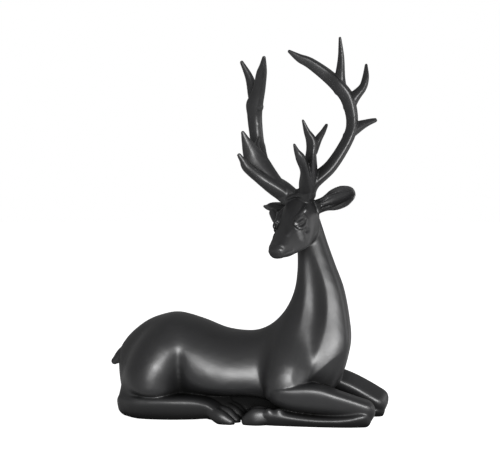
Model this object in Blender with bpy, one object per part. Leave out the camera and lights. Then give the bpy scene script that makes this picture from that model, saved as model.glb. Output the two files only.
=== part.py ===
"""Reclining stag, a small cast iron statue in one solid casting.

Metres, +Z up. The stag lies along +X with its head turned back over its right flank, towards -Y.
The origin is on the ground under the middle of the casting. Every table below is in millimetres.
"""
import math

import bmesh
import bpy
import numpy as np
from mathutils import Euler, Matrix, Vector

MM = 0.001

# Casting
NODE_NAME = "stag"
VOXEL = 1.1 * MM
BODY_VOXEL = 2.5 * MM
BODY_PASSES = 50
SOFT_LEVELS = 8
ZONE_EDGE = 1.6
SMOOTH_FACTOR = 0.5
STROKE_STEPS = 12
FACES = 9400
GROUND_BLOCK = 0.6
BODY_LEVELS = 1
BODY_EVENNESS = 0.1
BODY_LIMB_DOME = 0.4
TOE_SQUARENESS = 2.4
END_ANGLES_DEG = (20.0, 50.0, 78.0)
RING_SIDES = 36
RINGS_PER_SPAN = 5
IRON_COLOUR = (0.022, 0.023, 0.025, 1.0)
IRON_METALLIC = 0.6
IRON_ROUGHNESS = 0.42

# Head: where the crown sits on the neck, and how the head is turned on it
HEAD_PLACE = (51.3, -12.0, 220.4)
HEAD_TURN_DEG = -121.7
HEAD_NOD_DEG = 3.0
HEAD_TILT_DEG = 6.7

# Trunk and neck, one run of sections from rump to nape.
# Each is (back x, back z, belly x, belly z, half width, middle y, sag of the widest point, squareness).
TRUNK = (
    (-133.8, 60.0, -132.0, 40.0, 8.0, 0.0, 0.0, 2.05),
    (-131.6, 68.0, -130.0, 29.0, 16.0, 0.0, 0.1, 2.05),
    (-126.8, 75.6, -127.0, 18.0, 23.0, 0.0, 0.2, 2.05),
    (-116.8, 85.9, -119.0, 12.0, 30.0, 0.0, 0.2, 2.05),
    (-103.0, 95.6, -104.0, 9.0, 36.0, 0.0, 0.05, 2.05),
    (-87.0, 101.5, -88.0, 10.0, 40.0, 0.0, -0.2, 2.05),
    (-71.5, 103.4, -72.0, 15.0, 42.0, 0.0, -0.2, 2.05),
    (-47.0, 97.2, -47.0, 20.0, 45.5, 0.0, 0.2, 2.05),
    (-22.4, 88.2, -20.0, 21.0, 43.5, 0.0, 0.33, 2.05),
    (2.0, 85.9, 8.0, 20.0, 39.5, 0.0, 0.28, 2.05),
    (16.5, 90.0, 38.0, 11.0, 34.0, 0.0, 0.2, 2.05),
    (27.7, 98.1, 66.0, 13.0, 33.0, 0.0, 0.2, 2.05),
    (35.8, 108.1, 85.5, 30.0, 33.5, 0.0, 0.34, 2.05),
    (41.3, 118.0, 95.5, 50.0, 32.5, 0.0, 0.42, 2.05),
    (45.2, 129.5, 100.0, 74.0, 29.0, 0.0, 0.6, 2.1),
    (47.3, 143.0, 99.0, 98.0, 25.0, 0.5, 0.54, 2.4),
    (47.8, 156.0, 94.0, 127.5, 21.5, 1.0, 0.4, 2.6),
    (47.3, 168.0, 85.5, 151.0, 18.5, 2.0, 0.34, 2.5),
    (47.5, 182.0, 77.3, 174.0, 16.5, 3.5, 0.2, 2.3),
    (48.5, 196.0, 71.5, 192.0, 14.5, 4.5, 0.0, 2.2),
    (50.0, 206.0, 67.5, 203.0, 11.0, 4.5, 0.0, 2.1),
)

LEG_SQUARENESS = 3.0
LEG_LEAN = 0.42
FAR_LEG_UP = (0.0, -0.4, 1.0)

# Limbs that lie or stand along a path: (x, y, z, half width across, half height)
HAUNCH = (
    (-74.0, 12.0, 79.0, 26.0, 22.0),
    (-80.0, 17.0, 68.0, 29.0, 31.0),
    (-87.5, 18.0, 57.0, 30.0, 37.0),
    (-94.0, 18.0, 44.0, 30.0, 39.0),
    (-95.5, 18.0, 32.0, 29.0, 38.0),
)
FAR_HAUNCH = (
    (-80.0, 18.0, 82.0, 20.0, 14.0),
    (-86.0, 21.0, 68.0, 31.0, 25.0),
    (-90.0, 21.0, 54.0, 36.5, 28.5),
    (-90.0, 19.0, 38.0, 36.0, 27.0),
    (-86.0, 17.0, 24.0, 38.0, 24.0),
)
FAR_UPPER_ARM = (
    (36.0, 20.0, 80.0, 16.0, 14.0),
    (40.0, 26.0, 66.0, 15.0, 14.0),
    (46.0, 26.0, 50.0, 14.0, 13.0),
    (58.0, 22.0, 40.0, 13.0, 12.0),
    (76.0, 17.0, 37.0, 11.5, 11.5),
)
UPPER_ARM = (
    (51.0, 10.0, 94.0, 18.0, 11.0),
    (48.0, 19.0, 80.0, 21.0, 12.0),
    (44.5, 27.5, 65.0, 23.0, 14.0),
    (41.5, 33.5, 52.0, 23.5, 15.5),
    (40.0, 36.5, 40.0, 22.5, 15.2),
    (41.5, 37.5, 29.0, 19.0, 13.0),
)
NEAR_FOREARM = (
    (27.0, -37.0, 30.0, 9.0, 8.0),
    (35.0, -38.0, 27.5, 12.0, 11.0),
    (46.0, -38.5, 26.0, 12.5, 13.0),
    (58.0, -39.0, 26.0, 12.0, 14.2),
    (72.0, -39.5, 25.0, 11.2, 14.4),
    (90.0, -40.0, 21.3, 10.5, 12.4),
    (106.0, -39.5, 17.3, 10.5, 11.2),
    (116.0, -39.0, 13.5, 10.5, 12.0),
)
NEAR_CANNON = (
    (115.0, -40.5, 6.5, 10.0, 8.0),
    (98.0, -42.0, 3.5, 9.5, 7.0),
    (74.0, -43.0, 2.5, 9.0, 7.0),
    (50.0, -43.0, 3.5, 9.0, 8.0),
    (34.0, -43.0, 5.0, 9.0, 9.5),
    (22.0, -42.5, 6.0, 8.5, 9.5),
)
FAR_FOREARM = (
    (82.0, 16.0, 35.0, 11.0, 12.0),
    (98.0, 16.0, 28.5, 11.0, 12.5),
    (112.0, 16.0, 21.0, 11.0, 13.0),
    (126.0, 15.0, 12.5, 10.5, 14.0),
)
FAR_CANNON = (
    (126.0, 15.0, 5.5, 9.0, 8.5),
    (100.0, 16.0, 4.0, 8.5, 8.5),
    (60.0, 15.0, 3.0, 8.5, 8.5),
    (34.0, 12.0, 6.0, 9.0, 9.0),
    (18.0, 8.0, 7.0, 8.5, 8.5),
)
NEAR_HIND_CANNON = (
    (-117.5, -28.0, 14.0, 12.0, 12.5),
    (-104.0, -32.0, 12.5, 14.0, 12.5),
    (-76.0, -33.0, 12.5, 14.0, 12.5),
    (-52.0, -33.5, 12.8, 12.5, 11.8),
    (-38.0, -35.0, 12.0, 11.0, 10.0),
    (-29.0, -37.0, 9.0, 10.0, 8.0),
)
NEAR_HOCK = (
    (-102.0, -22.0, 48.0, 16.0, 14.0),
    (-110.0, -26.0, 36.0, 14.0, 13.0),
    (-115.5, -28.0, 24.0, 12.5, 12.5),
    (-117.5, -28.0, 13.0, 12.0, 12.5),
)
FAR_HIND_CANNON = (
    (-110.0, 22.0, 12.0, 12.0, 12.0),
    (-84.0, 8.0, 14.0, 11.0, 12.0),
    (-58.0, -8.0, 16.0, 10.0, 11.0),
    (-38.0, -13.0, 15.0, 9.0, 10.5),
    (-24.0, -15.0, 11.0, 9.0, 9.0),
)
# Cloven feet: each toe is a run of sections like a limb's, and so is each dew claw after the near fore toes
NEAR_HIND_TOES = (
    ((-35.0, -41.0, 12.5, 5.0, 5.0), (-23.0, -46.0, 6.5, 6.2, 7.0), (-13.0, -47.0, 2.0, 5.0, 5.0)),
    ((-33.0, -34.0, 13.0, 5.0, 5.0), (-19.0, -35.0, 6.5, 6.2, 8.0), (-9.0, -36.0, 1.5, 5.0, 5.0)),
)
FAR_HIND_TOES = (
    ((-26.0, -19.0, 11.0, 5.0, 7.0), (-14.0, -21.0, 6.0, 5.5, 7.5), (-5.0, -21.0, 1.5, 4.5, 4.5)),
    ((-24.0, -10.0, 11.0, 5.0, 7.0), (-12.0, -11.0, 6.0, 5.5, 7.5), (-4.0, -11.0, 1.5, 4.5, 4.5)),
)
NEAR_FORE_TOES = (
    ((22.0, -46.0, 8.0, 5.5, 8.0), (12.0, -47.0, 6.5, 6.0, 9.5), (3.5, -46.0, 2.5, 5.0, 7.0)),
    ((22.0, -37.0, 8.0, 5.5, 8.0), (12.0, -36.0, 7.0, 6.0, 9.5), (5.0, -36.0, 2.5, 5.0, 7.0)),
    ((22.0, -48.0, 13.0, 2.4, 2.4), (25.3, -49.2, 13.6, 3.6, 3.6), (28.6, -48.0, 13.0, 2.4, 2.4)),
    ((31.4, -48.0, 13.4, 2.4, 2.4), (34.6, -49.6, 13.8, 3.8, 3.6), (38.0, -48.0, 13.4, 2.4, 2.4)),
)
FAR_FORE_TOES = (
    ((18.0, 12.0, 7.0, 5.5, 8.0), (8.0, 10.0, 6.0, 6.0, 9.0), (0.0, 8.0, 2.5, 5.0, 6.5)),
    ((18.0, 2.0, 7.0, 5.5, 8.0), (8.0, 0.0, 6.0, 6.0, 9.0), (0.0, -2.0, 2.5, 5.0, 6.5)),
)
TAIL = (
    (-119.0, -3.0, 67.0, 9.5, 8.5),
    (-130.0, -4.0, 58.8, 7.0, 7.2),
    (-138.0, -5.0, 52.6, 3.6, 3.6),
)
# The underside of the barrel where it rests, out of sight behind the near legs
BELLY_REST = (
    (-100.0, 5.0, 14.0, 24.0, 17.0),
    (-80.0, 9.0, 12.0, 25.0, 16.0),
    (-50.0, 12.0, 10.0, 25.0, 15.0),
    (0.0, 13.0, 8.0, 24.0, 15.0),
    (44.0, 6.0, 8.0, 24.0, 15.0),
    (72.0, 0.0, 14.0, 20.0, 16.0),
)

# Head, in its own frame: x towards the nose, y to its left, z up, from the crown.
# Each section is (top x, top z, bottom x, bottom z, half width, squareness, narrowing to the top).
SKULL = (
    (-13.0, -9.0, -12.0, -37.0, 11.0, 2.0, 0.0),
    (-7.0, -1.0, -7.0, -45.0, 15.0, 2.2, 0.0),
    (3.0, 2.0, 1.0, -48.5, 17.0, 2.4, 0.0),
    (12.0, -6.0, 9.0, -50.5, 18.0, 2.8, 0.05),
    (21.0, -16.0, 16.0, -51.5, 17.2, 3.6, 0.2),
    (29.8, -26.5, 23.0, -53.0, 15.2, 4.4, 0.28),
    (39.2, -35.0, 30.5, -54.8, 13.2, 4.2, 0.24),
    (45.0, -40.5, 37.0, -57.0, 11.7, 3.2, 0.1),
    (49.2, -43.5, 41.5, -57.0, 10.2, 2.5, 0.0),
)
# Sections past the last one round the nose off: (how far out, share of the size kept), and how they droop
NOSE_CAP = ((2.2, 0.9), (3.8, 0.72), (4.8, 0.4))
NOSE_DROOP = 0.6
BROWS = ((10.0, 12.5, -11.0, 3.0, 2.5), (17.0, 14.6, -15.5, 2.8, 2.4), (26.0, 11.5, -22.0, 2.2, 2.0))
EYE_PLACE = (23.5, 13.9, -24.9)
EYE_SIZE = (7.2, 3.2, 4.4)
EYE_SLOPE_DEG = 24.0
EYE_SEGMENTS = (20, 12)
CROWN = ((1.0, -13.0, 0.0, 6.0, 6.0), (1.0, 0.0, 2.0, 6.0, 5.5), (1.0, 13.0, 0.0, 6.0, 6.0))
CROWN_RIM = ((6.0, -14.0, -3.5, 2.0, 1.8), (9.0, -8.0, -1.2, 2.0, 1.8), (8.8, -1.0, 0.6, 2.0, 1.8),
             (9.2, 5.0, 0.4, 2.0, 1.8), (8.4, 12.0, -1.6, 2.0, 1.8), (5.0, 17.5, -2.6, 2.0, 1.8))
RIGHT_EAR_BASE = ((8.0, -16.0, -26.0, 6.0, 6.0), (7.0, -26.0, -20.0, 5.0, 6.0), (3.0, -34.0, -13.0, 4.0, 4.5))

# Antler, left side, in the head's frame: (x, y, z, half thickness, half depth)
BEAM = (
    (3.0, 9.0, 0.0, 9.5, 9.5),
    (4.6, 20.5, 11.0, 7.6, 10.2),
    (-2.9, 40.0, 24.9, 6.3, 6.9),
    (-13.9, 55.8, 48.9, 5.7, 7.6),
    (-18.2, 60.0, 66.0, 5.8, 7.0),
    (-17.2, 58.4, 86.6, 6.8, 7.5),
    (-13.5, 52.6, 99.4, 6.9, 8.1),
    (-10.2, 42.8, 112.1, 6.6, 6.2),
    (-2.0, 30.6, 126.0, 5.4, 5.3),
    (3.8, 23.0, 132.1, 4.2, 3.7),
    (9.4, 16.0, 139.7, 1.8, 1.9),
)
BROW_TINE = (
    (4.9, 13.1, 1.9, 7.5, 7.1),
    (12.1, 19.4, 10.4, 7.9, 7.8),
    (23.8, 27.9, 22.3, 4.7, 6.0),
    (35.0, 33.2, 33.8, 4.8, 5.1),
    (40.2, 33.6, 40.8, 2.8, 3.2),
    (44.0, 34.5, 47.0, 1.3, 2.1),
)
TREZ_STEM = (
    (6.5, 17.8, 7.5, 8.2, 7.6),
    (14.0, 26.6, 23.6, 7.3, 10.6),
    (18.8, 34.0, 38.8, 5.0, 12.0),
    (21.1, 37.7, 49.5, 5.2, 8.5),
    (26.1, 37.5, 59.1, 3.1, 5.1),
    (30.3, 37.7, 69.3, 1.2, 1.9),
)
TREZ_SPUR = (
    (13.8, 33.2, 40.3, 4.4, 6.6),
    (11.6, 38.1, 50.0, 3.9, 4.7),
    (6.0, 41.6, 57.7, 2.7, 2.6),
    (-0.1, 42.4, 64.2, 1.7, 1.2),
)
UPPER_TINES = (
    ((-15.5, 52.3, 96.8, 6.7, 6.6), (-14.8, 54.6, 109.0, 5.0, 5.7), (-15.8, 57.8, 126.7, 3.2, 4.4),
     (-11.5, 62.3, 144.5, 1.4, 2.0)),
    ((-18.0, 58.0, 78.5, 6.0, 5.0), (-22.2, 63.5, 87.8, 5.4, 5.7), (-27.7, 70.5, 96.0, 4.0, 5.1),
     (-31.5, 72.7, 105.6, 3.3, 4.3), (-40.0, 69.3, 118.1, 1.5, 1.5)),
    ((-14.2, 55.1, 50.9, 4.8, 6.8), (-22.9, 61.8, 58.5, 5.4, 5.9), (-30.3, 68.5, 61.8, 3.6, 3.4),
     (-36.8, 74.3, 63.5, 2.3, 1.6)),
)
KEEL_SIDE = (0.77, 0.64, 0.0)
KEEL = 0.42
KEEL_LEAN = 0.35

# Ear blade, from its root to its tip along the head's left side: (share of length, half width, half
# thickness)
EAR_ROOT = (-6.0, 12.0, -13.5)
EAR_TIP = (-13.0, 56.0, -3.0)
EAR_BLADE = ((0.0, 7.5, 4.5), (0.25, 7.3, 3.4), (0.5, 10.5, 2.6), (0.75, 10.6, 2.3), (0.93, 7.2, 1.9),
             (1.0, 4.0, 1.3))
EAR_CUP = 3.2
LEFT_EAR_TWIST_DEG = 0.0
RIGHT_EAR_TWIST_DEG = 75.0
RIGHT_EAR_DROP = (2.4, 0.4)
RIGHT_EAR_LENGTH = 0.95

# Where limbs run into the body without an edge: (x, y, z, radius), and the same on the far side
BODY_BLENDS = (
    (-84.0, 34.0, 92.0, 40.0),
    (-118.0, 34.0, 62.0, 30.0),
    (-117.0, 38.0, 34.0, 28.0),
    (-36.0, 42.0, 52.0, 22.0),
    (38.0, 34.0, 96.0, 48.0),
    (20.0, 40.0, 66.0, 26.0),
    (68.0, 36.0, 74.0, 26.0),
)
# Joints that are rounded off after the parts are fused
JOINT_BLENDS = (
    (118.0, -40.0, 12.0, 16.0),
    (126.0, 15.0, 13.0, 16.0),
    (-113.0, -27.0, 24.0, 20.0),
    (-120.0, -40.0, 26.0, 22.0),
    (-110.0, 22.0, 22.0, 20.0),
    (46.0, -34.0, 84.0, 22.0),
    (52.0, -44.0, 30.0, 14.0),
    (60.0, 18.0, 38.0, 20.0),
    (-124.0, -3.0, 66.0, 12.0),
    (68.0, -12.0, 178.0, 20.0),
    (66.0, -14.0, 196.0, 15.0),
    (-33.0, -38.0, 12.0, 12.0),
)
JOINT_PASSES = 16
# Carving on both flanks, seen from the side: runs of (x, z, radius, depth), where a negative depth is raised
FLANK_GROOVES = (
    ((-66.0, 67.0, 9.0, 1.2), (-66.0, 58.0, 12.0, 3.4), (-66.0, 46.0, 13.0, 4.0), (-66.0, 28.0, 13.0, 4.0)),
)
NECK_GROOVES = (
    ((60.0, 162.0, 7.0, 0.6), (61.5, 155.0, 8.0, 1.6), (64.5, 140.0, 11.0, 3.2), (66.8, 121.0, 13.0, 4.2),
     (66.0, 101.0, 13.5, 4.0), (63.5, 86.0, 13.5, 2.8), (59.5, 72.0, 12.5, 2.6), (57.5, 58.0, 10.0, 2.2),
     (54.0, 46.0, 8.0, 1.2)),
)
FLANK_FOLDS = (
    ((101.0, 61.0, 11.0, 1.2), (86.0, 48.0, 12.0, 2.6), (69.5, 33.0, 12.0, 3.0)),
)
VALLEY_ROUNDING = 0.22


def spline(rows, per_span=RINGS_PER_SPAN):
    """Runs a smooth curve through the rows of a table and returns finer rows."""
    rows = np.array(rows, dtype=float)
    if len(rows) < 3:
        steps = np.linspace(0.0, 1.0, per_span + 1)[:, None]
        return rows[0] + (rows[-1] - rows[0]) * steps
    padded = np.vstack([2.0 * rows[0] - rows[1], rows, 2.0 * rows[-1] - rows[-2]])
    fine = []
    for i in range(len(rows) - 1):
        a, b, c, d = padded[i:i + 4]
        for t in np.arange(per_span) / per_span:
            fine.append(0.5 * (2.0 * b + (c - a) * t + (2.0 * a - 5.0 * b + 4.0 * c - d) * t * t
                               + (3.0 * b - a - 3.0 * c + d) * t ** 3))
    fine.append(rows[-1])
    return np.array(fine)


def section(squareness=2.0, keel=0.0, lean=0.0, sag=0.0, sides=RING_SIDES):
    """Unit section as (across, up) pairs: an ellipse, squared off, widest below its middle, or drawn to a
    leaning keel."""
    points = []
    for i in range(sides):
        angle = math.tau * i / sides
        across = math.copysign(abs(math.cos(angle)) ** (2.0 / squareness), math.cos(angle))
        up = math.copysign(abs(math.sin(angle)) ** (2.0 / squareness), math.sin(angle))
        rise = max(0.0, up)
        points.append((across * (1.0 - keel * rise) + lean * rise * rise, up - sag * (1.0 - up * up)))
    return points


def narrowed(shape, taper):
    """The same section drawn in towards its top."""
    return [(s * (1.0 - taper * t), t) for s, t in shape]


def add_ring(bm, centre, across, up, shape):
    """One section, laid out from a circle; returns its edges."""
    verts = bmesh.ops.create_circle(bm, segments=len(shape), radius=1.0)["verts"]
    for vert, (s, t) in zip(verts, shape):
        vert.co = centre + across * s + up * t
    return list({edge for vert in verts for edge in vert.link_edges})


def skin(bm, rings):
    """Bridges a run of sections and closes both ends."""
    for first, second in zip(rings, rings[1:]):
        bmesh.ops.bridge_loops(bm, edges=first + second)
    for end in (rings[0], rings[-1]):
        bmesh.ops.edgeloop_fill(bm, edges=end)


def join(bm, part):
    """Adds a finished part to a larger bmesh."""
    bmesh.ops.recalc_face_normals(part, faces=part.faces)
    mesh = bpy.data.meshes.new("part")
    part.to_mesh(mesh)
    part.free()
    bm.from_mesh(mesh)
    bpy.data.meshes.remove(mesh)


def rounded_ends(rows, depth):
    """Adds shrinking sections past both ends of a limb, so that it closes in a dome."""
    rows = [np.array(row) for row in rows]
    head, tail = [], []
    for angle in END_ANGLES_DEG:
        out, keep = math.sin(math.radians(angle)), math.cos(math.radians(angle))
        for last, before, store in ((rows[0], rows[1], head), (rows[-1], rows[-2], tail)):
            heading = last[:3] - before[:3]
            heading /= np.linalg.norm(heading)
            radius = min(last[3], last[4]) * depth
            store.append(np.concatenate([last[:3] + heading * radius * out, last[3:5] * keep]))
    return head[::-1] + rows + tail


def add_limb(bm, rows, up=(0.0, 0.0, 1.0), shape=None, dome=1.0, place=None):
    """A limb along a path, each section square to it; rows are (x, y, z, half width, half height)."""
    rows = rounded_ends(spline(rows), dome)
    shape = shape or section()
    place = place or Matrix.Identity(4)
    turn = place.to_3x3()
    centres = [Vector(row[:3]) for row in rows]
    limb = bmesh.new()
    rings = []
    for i, row in enumerate(rows):
        ahead = centres[min(i + 1, len(rows) - 1)] - centres[max(i - 1, 0)]
        across = ahead.cross(Vector(up)).normalized()
        upward = across.cross(ahead).normalized()
        centre = place @ (centres[i] * MM)
        rings.append(add_ring(limb, centre, turn @ across * row[3] * MM, turn @ upward * row[4] * MM, shape))
    skin(limb, rings)
    join(bm, limb)


def mirrored(rows):
    """The same rows on the other side of the middle plane."""
    return tuple((row[0], -row[1]) + tuple(row[2:]) for row in rows)


def sided(rows, side):
    """The rows as they are on the left side, or their mirror image on the right."""
    return rows if side > 0.0 else mirrored(rows)


def head_matrix():
    """Places the head's own frame on the neck."""
    turn = Euler([math.radians(a) for a in (HEAD_TILT_DEG, HEAD_NOD_DEG, HEAD_TURN_DEG)], "XYZ")
    return Matrix.Translation(Vector(HEAD_PLACE) * MM) @ turn.to_matrix().to_4x4()


def add_trunk(bm):
    """Barrel, chest and neck in one run of upright sections that fan round the withers."""
    trunk = bmesh.new()
    rings = []
    for row in spline(TRUNK):
        shape = section(row[7], sag=row[6], sides=2 * RING_SIDES)
        back = Vector((row[0], row[5], row[1])) * MM
        belly = Vector((row[2], row[5], row[3])) * MM
        side = Vector((0.0, row[4] * MM, 0.0))
        rings.append(add_ring(trunk, (back + belly) / 2.0, side, (back - belly) / 2.0, shape))
    skin(trunk, rings)
    join(bm, trunk)


def add_skull(bm, place):
    """Cranium, cheeks and muzzle in one run of sections, with a rounded nose."""
    rings = []
    rows = list(spline(SKULL))
    last = rows[-1]
    for out, keep in NOSE_CAP:
        cap = last.copy()
        middle_x, middle_z = (last[0] + last[2]) / 2.0, (last[1] + last[3]) / 2.0
        cap[0] = middle_x + (last[0] - middle_x) * keep + out
        cap[1] = middle_z + (last[1] - middle_z) * keep - out * NOSE_DROOP
        cap[2] = middle_x + (last[2] - middle_x) * keep + out
        cap[3] = middle_z + (last[3] - middle_z) * keep - out * NOSE_DROOP
        cap[4] = last[4] * keep
        rows.append(cap)
    turn = place.to_3x3()
    skull = bmesh.new()
    for row in rows:
        top = Vector((row[0], 0.0, row[1])) * MM
        bottom = Vector((row[2], 0.0, row[3])) * MM
        centre = place @ ((top + bottom) / 2.0)
        across = turn @ Vector((0.0, row[4] * MM, 0.0))
        rings.append(add_ring(skull, centre, across, turn @ ((top - bottom) / 2.0),
                              narrowed(section(row[5]), row[6])))
    skin(skull, rings)
    join(bm, skull)
    for limb in (CROWN, CROWN_RIM, RIGHT_EAR_BASE):
        add_limb(bm, limb, place=place)
    for side in (-1.0, 1.0):
        add_limb(bm, sided(BROWS, side), place=place)
        add_eye(bm, place, side)


def add_eye(bm, place, side):
    """An eyeball set in its socket."""
    eye = Vector((EYE_PLACE[0], EYE_PLACE[1] * side, EYE_PLACE[2])) * MM
    slope = Euler((0.0, math.radians(EYE_SLOPE_DEG), 0.0)).to_matrix().to_4x4()
    size = Matrix.Diagonal(Vector(EYE_SIZE) * MM).to_4x4()
    ball = bmesh.new()
    bmesh.ops.create_uvsphere(ball, u_segments=EYE_SEGMENTS[0], v_segments=EYE_SEGMENTS[1], radius=1.0,
                              matrix=place @ Matrix.Translation(eye) @ slope @ size)
    join(bm, ball)


def add_antler(bm, place, side):
    """One antler: a keeled beam, brow tine, forked trez tine and three upper tines."""
    keeled = section(2.0, KEEL, KEEL_LEAN * side)
    keel_side = (KEEL_SIDE[0], KEEL_SIDE[1] * side, KEEL_SIDE[2])
    for branch in (BEAM, BROW_TINE, TREZ_STEM, TREZ_SPUR) + UPPER_TINES:
        add_limb(bm, sided(branch, side), up=keel_side, shape=keeled, place=place)


def ear_frame(side, twist_deg):
    """Root, tip, and the directions across and out of the hollow of one ear, in the head's frame."""
    root = Vector((EAR_ROOT[0], EAR_ROOT[1] * side, EAR_ROOT[2]))
    tip = Vector((EAR_TIP[0], EAR_TIP[1] * side, EAR_TIP[2]))
    if side < 0.0:
        tip = root + (tip - root) * RIGHT_EAR_LENGTH
        root.z -= RIGHT_EAR_DROP[0]
        tip.z -= RIGHT_EAR_DROP[1]
    axis = (tip - root).normalized()
    front = Vector((1.0, 0.0, 0.0))
    front = (front - axis * front.dot(axis)).normalized()
    front = Matrix.Rotation(math.radians(twist_deg), 3, axis) @ front
    return root, tip, axis.cross(front), front


def add_ear(bm, place, side, twist_deg):
    """A leaf-shaped ear, hollowed towards the front."""
    root, tip, blade, front = ear_frame(side, twist_deg)
    ear = bmesh.new()
    rings = []
    for share, width, thick in spline(EAR_BLADE):
        centre = root + (tip - root) * share
        cup = EAR_CUP * width / 10.0
        edges = add_ring(ear, Vector(), Vector((1.0, 0.0, 0.0)), Vector((0.0, 1.0, 0.0)), section())
        for vert in {vert for edge in edges for vert in edge.verts}:
            s, t = vert.co.x, vert.co.y
            local = centre + blade * (s * width) + front * (t * thick + cup * (s * s - 0.5))
            vert.co = place @ (local * MM)
        rings.append(edges)
    skin(ear, rings)
    join(bm, ear)


def add_body_mass(bm):
    """Barrel, neck, haunches and shoulders, which run into each other."""
    add_trunk(bm)
    for limb in (mirrored(HAUNCH), FAR_HAUNCH, mirrored(UPPER_ARM), FAR_UPPER_ARM):
        add_limb(bm, limb, up=(0.0, 1.0, 0.0), dome=BODY_LIMB_DOME)
    add_limb(bm, NEAR_HOCK, up=(0.0, 1.0, 0.0))


def add_legs(bm):
    """The folded legs with their cloven feet, the tail, and the rest under the barrel."""
    shape = narrowed(section(LEG_SQUARENESS), -LEG_LEAN)
    for limb in (NEAR_FOREARM, NEAR_CANNON, NEAR_HIND_CANNON):
        add_limb(bm, limb, shape=shape)
    for limb in (FAR_FOREARM, FAR_CANNON, FAR_HIND_CANNON):
        add_limb(bm, limb, up=FAR_LEG_UP, shape=shape)
    for foot in (NEAR_HIND_TOES, FAR_HIND_TOES, NEAR_FORE_TOES, FAR_FORE_TOES):
        for toe in foot:
            add_limb(bm, toe, shape=section(TOE_SQUARENESS))
    add_limb(bm, TAIL)
    add_limb(bm, BELLY_REST)


def bake(obj):
    """Puts an object's modifiers into its own mesh."""
    graph = bpy.context.evaluated_depsgraph_get()
    mesh = bpy.data.meshes.new_from_object(obj.evaluated_get(graph))
    old = obj.data
    obj.modifiers.clear()
    obj.data = mesh
    bpy.data.meshes.remove(old)


def one_skin(obj, voxel):
    """Fuses every shell of an object into one closed skin."""
    remesh = obj.modifiers.new("one skin", "REMESH")
    remesh.mode = "VOXEL"
    remesh.voxel_size = voxel
    bake(obj)


def finer(obj, levels):
    """Rounds an object's faces off into finer ones."""
    subdivide = obj.modifiers.new("finer", "SUBSURF")
    subdivide.levels = levels
    subdivide.render_levels = levels
    bake(obj)


def coordinates(mesh):
    """Vertex places as an array, one row each, in millimetres."""
    flat = np.empty(len(mesh.vertices) * 3, dtype=np.float32)
    mesh.vertices.foreach_get("co", flat)
    return flat.reshape(-1, 3).astype(float) / MM


def soften(obj, zones, passes, everywhere=0.0):
    """Smooths an object inside round zones of (x, y, z, radius), most at their middles."""
    places = coordinates(obj.data)
    weight = np.full(len(places), everywhere)
    for x, y, z, radius in zones:
        gap = np.linalg.norm(places - (x, y, z), axis=1) / radius
        weight = np.maximum(weight, np.clip(ZONE_EDGE * (1.0 - gap), 0.0, 1.0))
    group = obj.vertex_groups.new(name="soft")
    levels = np.round(weight * SOFT_LEVELS).astype(int)
    for level in range(1, SOFT_LEVELS + 1):
        group.add(np.flatnonzero(levels == level).tolist(), level / SOFT_LEVELS, "REPLACE")
    smooth = obj.modifiers.new("soften", "SMOOTH")
    smooth.factor = SMOOTH_FACTOR
    smooth.iterations = passes
    smooth.vertex_group = group.name
    bake(obj)
    obj.vertex_groups.clear()


def soft_edge(gap):
    """A dent that fades out round its rim."""
    return np.clip(1.0 - gap * gap, 0.0, 1.0) ** 2


def valley(gap):
    """A rounded middle line, with sides that flatten out."""
    return np.clip(1.0 - np.sqrt(gap * gap + VALLEY_ROUNDING ** 2), 0.0, 1.0) ** 2


def lobe(gap):
    """A full round form that ends in a crease."""
    return np.clip(1.0 - gap * gap, 0.0, 1.0)


def press(obj, strokes, side, profile):
    """Carves strokes of (x, z, radius, depth) into the flank on one side."""
    mesh = obj.data
    places = coordinates(mesh)
    normals = np.empty(len(places) * 3, dtype=np.float32)
    mesh.vertex_normals.foreach_get("vector", normals)
    facing = np.clip(2.0 * normals.reshape(-1, 3)[:, 1] * side, 0.0, 1.0)
    move = np.zeros(len(places))
    seen = places[:, (0, 2)]
    for stroke in strokes:
        rows = spline(stroke, STROKE_STEPS)
        reach = rows[:, 2].max()
        low = rows[:, :2].min(axis=0) - reach
        high = rows[:, :2].max(axis=0) + reach
        near = np.flatnonzero(np.all((seen > low) & (seen < high), axis=1) & (facing > 0.0))
        best = np.zeros(len(near))
        for row in rows:
            gap = np.linalg.norm(seen[near] - row[:2], axis=1) / row[2]
            depth = row[3] * profile(gap)
            best = np.where(np.abs(depth) > np.abs(best), depth, best)
        move[near] += best * facing[near]
    places[:, 1] -= side * move
    mesh.vertices.foreach_set("co", (places * MM).astype(np.float32).ravel())
    mesh.update()


def both_sides(zones):
    """Zones and their mirror images."""
    return tuple(zones) + tuple((x, -y, z, radius) for x, y, z, radius in zones)


def new_object(name, bm):
    """An object from a finished bmesh."""
    mesh = bpy.data.meshes.new(name)
    bm.to_mesh(mesh)
    bm.free()
    obj = bpy.data.objects.new(name, mesh)
    bpy.context.scene.collection.objects.link(obj)
    return obj


def keep_largest(obj):
    """Drops any loose shell left inside the casting."""
    bm = bmesh.new()
    bm.from_mesh(obj.data)
    shells = []
    seen = set()
    for start in bm.verts:
        if start in seen:
            continue
        shell, queue = {start}, [start]
        while queue:
            for edge in queue.pop().link_edges:
                for vert in edge.verts:
                    if vert not in shell:
                        shell.add(vert)
                        queue.append(vert)
        seen |= shell
        shells.append(shell)
    shells.sort(key=len)
    for shell in shells[:-1]:
        bmesh.ops.delete(bm, geom=list(shell), context="VERTS")
    bm.to_mesh(obj.data)
    bm.free()


def thin_out(obj, faces):
    """Collapses edges where the surface is flattest, down to a number of triangles."""
    triangles = sum(len(face.vertices) - 2 for face in obj.data.polygons)
    decimate = obj.modifiers.new("thin out", "DECIMATE")
    decimate.ratio = faces / triangles
    bake(obj)


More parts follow.
